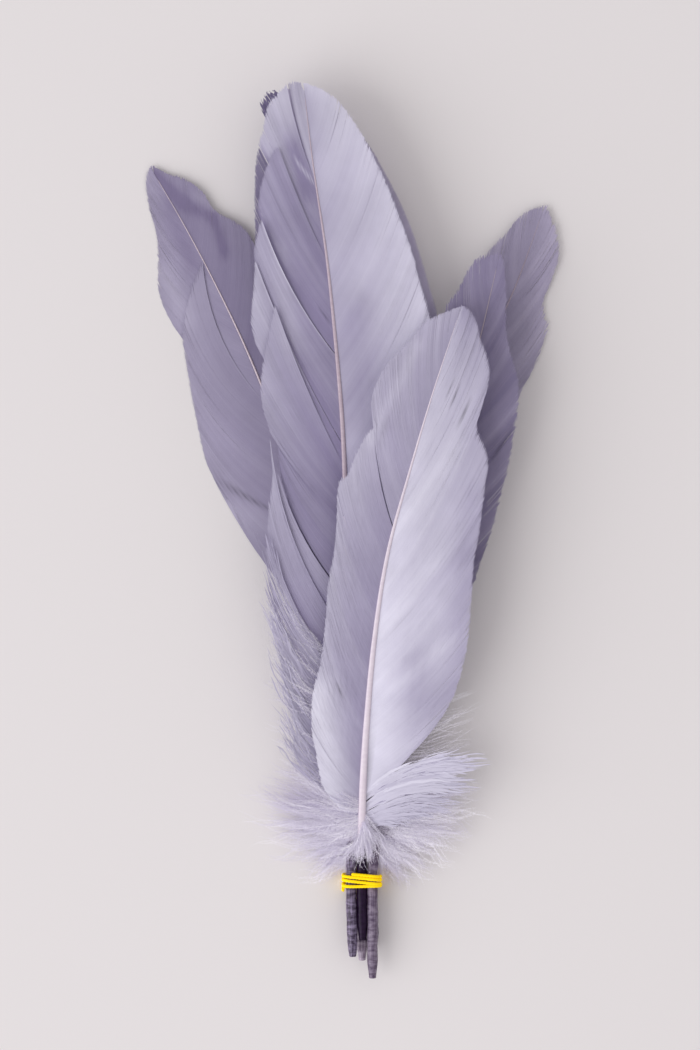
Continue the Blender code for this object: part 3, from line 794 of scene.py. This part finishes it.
def make_shaft(feather):
    ridge = ridges[feather]
    top, end = ridge[-1, 1], ridge[0, 1]
    # The rachis starts inside the quill, and stops short of the tip of the vane.
    up = np.arange(QUILL_TOP - 1.4, top - 2, RACHIS_STEP)
    up = np.concatenate([[QUILL_TOP - 1.5, QUILL_TOP - 1.5], up, [top - 1.5]])
    girths = girth_at(feather, up)
    girths[0] = girths[-1] = 0.0
    rachis = ring_run(
        f"rachis_{feather}", along(ridge, ridge[:, 1], up), girths, RACHIS_FINISHES[feather],
        GROOVE_DEPTH,
    )
    down = np.arange(end + 0.6, QUILL_TOP - 2, QUILL_STEP)
    down = np.concatenate([[end, end, end + 0.15], down, [QUILL_TOP - 1.2, QUILL_TOP]])
    girths = girth_at(feather, down) * np.interp(down - end, [0, 1.0, 3.0], [0.75, 0.86, 1.14])
    # A soaked quill dries a little crumpled.
    girths *= 1 + 0.035 * np.sin(down * 1.3 + end) + 0.02 * np.sin(down * 3.1)
    girths[0] = 0.0
    girths[1] *= 0.8
    girths[-2:] = [0.8 * girths[-3], 0.0]
    quill = ring_run(
        f"quill_{feather}", along(ridge, ridge[:, 1], down), girths, QUILL_FINISHES[feather]
    )
    for piece, slot in ((rachis, "rachis"), (quill, "quill")):
        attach(piece, "root")
        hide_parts("feather_" + feather)


for feather in SPINES:
    make_shaft(feather)
print("shafts made:", len(SPINES))

# %% [markdown]
# ## Down
#
# At the foot of a vane the barbs lose their hooks and turn to down: each is a soft wavy thread
# with hundreds of finer threads along it.  Those finer threads are what makes the haze.  A hair
# or particle system is the usual way, but hair isn't a solid that a maker can hold, so here each
# thread is a thin closed spindle, cut from the same kind of grid as the barbs.

# %% Down finish


def soft_down(name, deep, pale, glow):
    """Dyed down.  Its glow stands in for light that passes through barbules too fine to draw."""
    material, tree, shader = new_material(
        name,
        {
            "Roughness": 0.8, "IOR": KERATIN_IOR, "Specular IOR Level": 0.2,
            "Sheen Weight": 0.4, "Sheen Roughness": 0.6, "Emission Strength": glow,
        },
    )
    dye = dye_mix(tree, deep, pale, attribute(tree, "tone"))
    tree.links.new(dye, shader.inputs["Base Color"])
    tree.links.new(dye, shader.inputs["Emission Color"])
    return material


down_finish = soft_down("goose down, dyed lavender", "#c6bed6", "#faf7ff", 0.06)
# Painted shadow: the plum down is a dark tuft laid under the pale down, where it shades itself.
down_shadow = soft_down("goose down, plum painted shadow", "#54455f", "#9d90ab", 0.0)

# %% Lay a tuft of downy barbs
DOWN_STATIONS = np.linspace(0, 1, 13)
LEAST_DOWN_HEIGHT = 0.15


def lay_tuft(chance, ridge, tuft):
    """Centre lines of a tuft's barbs, and the tone of each.

    Barbs cling together in wisps of a few, which share their bend and their colour.
    """
    count = tuft["count"]
    wisps = max(2, count // tuft.get("wisp", 10))
    wisp_of = chance.integers(0, wisps, count)
    wisp_u = (np.arange(wisps) + chance.random(wisps)) / wisps
    u = np.clip(wisp_u[wisp_of] + chance.normal(0, 0.5 / wisps, count), 0, 1)
    low, high = tuft["roots"]
    root = along(ridge, ridge[:, 1], low + u * (high - low) + chance.normal(0, 0.4, count))
    stray = chance.normal(0, tuft.get("stray", 1.0), (wisps, 3)) * (1, 1, 0.6)
    wisp_tip = smooth_path(tuft["tips"], wisp_u) + stray
    tip = 0.5 * smooth_path(tuft["tips"], u) + 0.5 * wisp_tip[wisp_of]
    wisp_share = chance.uniform(tuft.get("shortest", 0.5), 1.0, wisps)
    share = (wisp_share[wisp_of] * chance.uniform(0.75, 1.0, count))[:, None]
    tip = root + (tip - root) * share + chance.normal(0, 0.5, (count, 3)) * (1, 1, 0.5)
    wisp_bow = chance.normal(0, 0.11, wisps)[wisp_of]
    wisp_tone = chance.normal(0, 0.2, wisps)[wisp_of]
    reach = tip - root
    length = np.linalg.norm(reach, axis=1, keepdims=True)
    ahead = reach[:, :2] / np.linalg.norm(reach[:, :2], axis=1, keepdims=True)
    outward = np.sign(reach[:, :1]) * np.stack([ahead[:, 1], -ahead[:, 0]], 1)
    bow = tuft["bow"] + wisp_bow + chance.normal(0, 0.04, count)
    control = (root + tip) / 2
    control[:, :2] += outward * length * bow[:, None]
    control[:, 2] += tuft.get("arch", 1.0) + chance.normal(0, 0.5, count)
    line = bend(root, control, tip, DOWN_STATIONS)
    phase, rate = chance.random((2, count, 1)) * 6.28, chance.uniform(7, 16, (2, count, 1))
    wave = tuft.get("wave", 0.5) * DOWN_STATIONS**1.2
    swing = np.sin(DOWN_STATIONS * rate + phase) * wave
    line[..., :2] += swing[0][..., None] * outward[:, None]
    line[..., 2] += swing[1] * 0.6
    line[..., 2] = np.maximum(line[..., 2], LEAST_DOWN_HEIGHT)
    tone = 0.5 + tuft.get("tone", 0.0) + wisp_tone + chance.normal(0, 0.1, count)
    return line, np.clip(tone, 0, 1)


# %% Grow the barbules of a downy barb
BARBULE_STEP = 0.45     # real barbules stand 0.05 mm apart, too fine to draw
BARBULE_RADIUS = 0.027
BARE_SHARE = 0.08       # of a barb, at its root
LOOK_AHEAD = 0.3
LEAST_TIP_HEIGHT = 0.1


def grow_barbules(chance, barb, tone, longest):
    """The start, end and tone of each barbule on both sides of one barb."""
    gone = distances(barb)
    number = int(gone[-1] / BARBULE_STEP)
    at = (np.arange(number) + chance.random(number)) / number * gone[-1]
    at = at[at > BARE_SHARE * gone[-1]]
    start = along(barb, gone, at)
    beyond = 2 * barb[-1:] - along(barb, gone, [gone[-1] - LOOK_AHEAD])
    marks = np.append(gone, gone[-1] + LOOK_AHEAD)
    run = unit(along(np.vstack([barb, beyond]), marks, at + LOOK_AHEAD) - start)
    across = unit(np.cross(run, UP))
    full = longest * np.clip(1.15 - at / gone[-1], 0.15, 1) * chance.uniform(0.6, 1.1, len(at))
    grown = []
    for hand in (-1, 1):
        lean = unit(run * 0.75 + hand * across * 0.7 + chance.normal(0, 0.28, (len(at), 3)))
        end = start + lean * full[:, None]
        end[:, 2] = np.maximum(end[:, 2], LEAST_TIP_HEIGHT)
        grown.append((start, end, np.clip(tone + chance.normal(0, 0.08, len(at)), 0, 1)))
    return grown


def spindles(start, end):
    """Three-sided closed spindles from start to end, thickest at two fifths of their length."""
    over, upward = square_to(unit(end - start), np.array([0.13, 0.21, 1.0]))
    middle = start * 0.6 + end * 0.4
    places = np.empty((len(start), 3, 3, 3))
    places[:, 0], places[:, 2] = start[:, None], end[:, None]
    for corner in range(3):
        turn = 2 * math.pi * corner / 3
        out = math.cos(turn) * over + math.sin(turn) * upward
        places[:, 1, corner] = middle + BARBULE_RADIUS * out
    return places


# %% Tufts of down


def make_down(name, feather, tufts, material, seed):
    """Downy barbs rooted on one shaft, each with its barbules, as two pieces."""
    chance = np.random.default_rng(seed)
    lines, barb_tones, grown = [], [], []
    for tuft in tufts:
        line, tones = lay_tuft(chance, ridges[feather], tuft)
        lines.append(line)
        barb_tones.append(tones)
        for barb, tone in zip(line, tones):
            grown += grow_barbules(chance, barb, tone, tuft.get("barbule", 1.5))
    lines = np.concatenate(lines)
    over, upward = square_to(unit(np.gradient(lines, axis=1)), UP)
    girth = np.interp(DOWN_STATIONS, [0, 0.04, 0.5, 0.97, 1.0], [0.0, 0.055, 0.038, 0.015, 0.0])
    girth = girth[None, :, None]
    ring = [girth * (math.cos(a) * over + math.sin(a) * upward) for a in (0, 2.094, 4.189)]
    tone = np.repeat(np.concatenate(barb_tones)[:, None], len(DOWN_STATIONS), 1)
    places = np.stack([lines + out for out in ring], 2)
    barbs = cut_blades(name + "_barbs", places, {"tone": tone}, material)
    starts, ends, tones = (np.concatenate(parts) for parts in zip(*grown))
    tone = np.repeat(tones[:, None], 3, 1)
    barbules = cut_blades(name + "_barbules", spindles(starts, ends), {"tone": tone}, material)
    for piece in (barbs, barbules):
        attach(piece, "root")
        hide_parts("feather_" + feather)
    faces = len(barbules.data.polygons)
    print(f"{name}: {len(lines)} barbs, {len(starts)} barbules, {faces} faces")


LEFT_PUFF = [
    (-5, -76, 1.5), (-12, -72, 1), (-18, -65, 1.5), (-21.5, -59, 2.5), (-21.5, -52, 4),
    (-14, -45, 6),
]
RIGHT_PUFF = [(5, -76, 1), (14, -76, 1), (22, -70, 2), (26, -63, 3), (28, -56, 4.5)]
make_down("down_front_left", "front", [
    dict(
        roots=(-66, -58), tips=LEFT_PUFF, count=400, bow=0.08, tone=0.05, wisp=7,
    ),
    dict(
        roots=(-63, -57), tips=[(-8, -67, 4), (-12, -61, 5), (-13.5, -54, 6), (-13, -47, 7)],
        count=56, bow=0.1, arch=2.0, barbule=1.1, tone=0.1, wisp=4, shortest=0.6, stray=1.4,
    ),
], down_finish, 501)
make_down("down_behind_left", "behind", [
    dict(
        roots=(-66, -56), tips=LEFT_PUFF, count=360, bow=0.05, tone=-0.05, shortest=0.4,
        stray=2.0, wisp=5,
    ),
    dict(
        roots=(-65, -58), tips=[(-9, -77, 2), (-18, -72, 2), (-25, -64, 3), (-26, -54, 4)],
        count=36, bow=0.1, tone=0.2, shortest=0.9, stray=1.5, wisp=3, wave=1.0,
    ),
], down_finish, 506)
make_down("down_front_right", "front", [
    dict(
        roots=(-66, -59), tips=RIGHT_PUFF, count=320, bow=0.03, tone=0.1, wisp=7,
    ),
    dict(
        roots=(-50, -36), tips=[(26, -46, 7), (28.5, -38, 8), (29, -29, 8)], count=40,
        bow=0.05, shortest=0.9, arch=-1.0, barbule=0.8, tone=0.3, wisp=4,
    ),
], down_finish, 502)
make_down("down_right_middle", "right_middle", [
    dict(
        roots=(-66, -55), tips=RIGHT_PUFF + [(27, -48, 6)], count=330, bow=0.0, tone=0.0,
        shortest=0.4, stray=2.0, wisp=5,
    ),
    dict(
        roots=(-64, -56), tips=[(14, -79, 1.5), (25, -72, 2.5), (30, -62, 4), (31, -52, 6)],
        count=40, bow=-0.05, tone=0.25, shortest=0.85, stray=1.5, wisp=3, wave=1.0,
    ),
], down_finish, 507)
make_down("down_centre_left", "centre", [
    dict(
        roots=(-62, -22), tips=[
            (-14, -62, 3), (-18, -50, 3.5), (-18.5, -37, 4), (-19.5, -24, 5), (-20, -10, 6),
        ], count=360, bow=0.12, stray=1.1, tone=0.08, shortest=0.7, wisp=6,
    ),
    dict(
        roots=(-52, -27), tips=[(-16, -42, 8), (-18.5, -31, 8.6), (-19, -20, 9.2), (-18, -9, 9.8)],
        count=70, bow=0.08, arch=1.2, barbule=1.0, tone=0.3, shortest=0.75, stray=1.6, wisp=3,
        wave=0.9,
    ),
], down_finish, 503)
make_down("down_front_fuzz", "front", [
    dict(
        roots=(-66, -59.5), tips=[
            (-6, -67.5, 5.5), (-2.5, -72, 6), (2.5, -72, 7), (5.5, -72.5, 6), (9, -69, 5),
        ], count=270, bow=0.0, arch=1.8, barbule=1.0, wave=0.25, tone=-0.05, wisp=5,
    ),
], down_finish, 504)
# Painted shadow: dark plum down under the pale tuft at the front.
make_down("down_front_shadow", "front", [
    dict(
        roots=(-67, -60), tips=[
            (-6, -67, 4), (-2, -70, 5.5), (4, -70, 5.5), (11, -66, 4.5), (13, -61, 6),
        ], count=90, bow=0.0, arch=1.2, barbule=1.1, wave=0.3, wisp=6,
    ),
], down_shadow, 505)

# %% [markdown]
# ## The tie
#
# Florists' cotton thread, three plies twisted, wound four times round the quills.  It could be a
# plain tube with a bump pattern, but the twist shows at its edge, so the tube's own section has
# three lobes that turn along it.

# %% The way of the thread
THREAD_RADIUS, THREAD_GAP, THREAD_TURNS = 0.34, 0.4, 4
LAST_TURN_SHORT = 0.1    # the last turn stops at the left side, where its end is tucked in
TURN_STEPS = 110
THREAD_CORNERS = 18
PLIES, PLY_TWIST = 3, 1.9          # the twist is in millimetres of thread to one full turn
PLY_MEAN, PLY_LOBE = 0.93, 0.12


def round_the_quills(turns):
    """Places on a rounded rectangle round the quills, in x and z, for an array of turns."""
    reach = QUILL_RADIUS + THREAD_GAP + THREAD_RADIUS
    half_x, half_z = COLUMNS[1] - COLUMNS[0], (ROWS[1] - ROWS[0]) / 2
    arc = math.pi * reach / 2
    marks = np.cumsum([0, half_x * 2, arc, half_z * 2, arc, half_x * 2, arc, half_z * 2, arc])
    corners = ((half_x, half_z), (half_x, -half_z), (-half_x, -half_z), (-half_x, half_z))
    places = []
    for gone in (turns % 1.0) * marks[-1]:
        number = min(int(np.searchsorted(marks, gone, side="right")) - 1, 7)
        left, corner = gone - marks[number], number // 2
        heading = -math.pi / 2 * corner
        if number % 2:
            x, z = corners[corner]
            angle = math.pi / 2 + heading - left / reach
            places.append((x + reach * math.cos(angle), z + reach * math.sin(angle)))
        else:
            x, z = corners[corner - 1]
            run_x, run_z = math.cos(heading), math.sin(heading)
            places.append((x - run_z * reach + run_x * left, z + run_x * reach + run_z * left))
    return np.array(places) + (COLUMNS[1], (ROWS[0] + ROWS[1]) / 2)


turns = np.linspace(0, THREAD_TURNS - LAST_TURN_SHORT, THREAD_TURNS * TURN_STEPS + 1)
x, z = round_the_quills(turns).T
# The first two turns lie side by side, the next two a little apart, and all lean to the right.
down_the_quills = np.interp(turns, range(THREAD_TURNS + 1), (1.55, 0.9, 0.03, -0.85, -1.35))
slant = np.interp(turns, (0, 2.6, 3.0, 4), (-0.07, -0.07, 0.04, 0.04))
wound = np.stack([x, TIE_Y + down_the_quills + slant * (x - COLUMNS[1]), z], 1)
tail = smooth_path([(0, 0, 0), (-0.05, -0.25, -0.3), (0.0, -0.6, -0.7)], np.linspace(0, 1, 16)[1:])
wound = np.concatenate([wound, wound[-1] + tail])
gone = distances(wound)

# %% Thread
over, upward = square_to(unit(np.gradient(wound, axis=0)), np.array([0, 1.0, 0.02]))
angle = np.arange(THREAD_CORNERS) / THREAD_CORNERS * 2 * math.pi
twist = angle[None] - 2 * math.pi * gone[:, None] / PLY_TWIST
lobes = THREAD_RADIUS * (PLY_MEAN + PLY_LOBE * np.cos(PLIES * twist))
lobes = lobes * np.interp(gone, [0, 0.1, gone[-1] - 0.2, gone[-1]], [0, 1, 1, 0])[:, None]
ring = np.cos(angle)[None, :, None] * over[:, None] + np.sin(angle)[None, :, None] * upward[:, None]
cotton, tree, shader = new_material(
    "dyed cotton thread, bright yellow",
    {
        "Roughness": 0.8, "Specular IOR Level": 0.05,
        # The thread glows a little: painted light that makes the yellow brighter than the lamps do.
        "Emission Color": linear("#ffc400"), "Emission Strength": 0.2,
    },
)
# Cotton fibres bunch some 0.15 mm across.
fibres = noise(tree, object_place(tree), 1 / (0.15 * MM), 3.0)
yellow = dye_mix(tree, "#ffd400", "#fff02a", fibres)
tree.links.new(yellow, shader.inputs["Base Color"])
add_bump(tree, shader, fibres, 0.5, 0.05 * MM)
thread = cut_blades("thread", (wound[:, None] + lobes[..., None] * ring)[None], {}, cotton)
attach(thread, "root")
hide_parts("thread_tie")
print(f"thread: {gone[-1]:.0f} mm long")

# %% [markdown]
# ## Camera, floor and light
#
# The bunch lies on pale matt paper under an even light, with one large soft lamp low on the left
# that throws its shadow to the right.  The camera looks straight down through a long lens.

# %% Floor
floor_mesh = grid_mesh("floor", 1, 1, 2.0)
paper, _, _ = new_material(
    "pale matt paper",
    {"Base Color": linear("#e7e3e4"), "Roughness": 0.9, "Specular IOR Level": 0.1},
)
floor_mesh.materials.append(paper)
floor = add_object("floor", floor_mesh)

# %% Light
world = bpy.data.worlds.new("studio")
bpy.context.scene.world = world
world.use_nodes = True
background = world.node_tree.nodes["Background"]
background.inputs["Color"].default_value = linear("#f6f3f4")
background.inputs["Strength"].default_value = 0.72
key = bpy.data.lights.new("key", "AREA")
key.shape = "DISK"
key.size = 2.4
key.energy = 30.0
key_object = add_object("key", key)
azimuth, elevation, far = math.radians(205), math.radians(30), 2.0
level = far * math.cos(elevation)
key_object.location = (
    level * math.cos(azimuth), level * math.sin(azimuth), far * math.sin(elevation)
)
key_object.rotation_euler = (math.radians(90) - elevation, 0.0, azimuth + math.radians(90))

# %% Camera
camera = bpy.data.cameras.new("camera")
camera.lens = 150.0
camera.sensor_width = 36.0
camera.sensor_fit = "AUTO"
camera_object = add_object("camera", camera)
camera_object.location = (-0.0004, 0.0019, 0.9355)
bpy.context.scene.camera = camera_object
bpy.context.scene.view_settings.view_transform = "Standard"
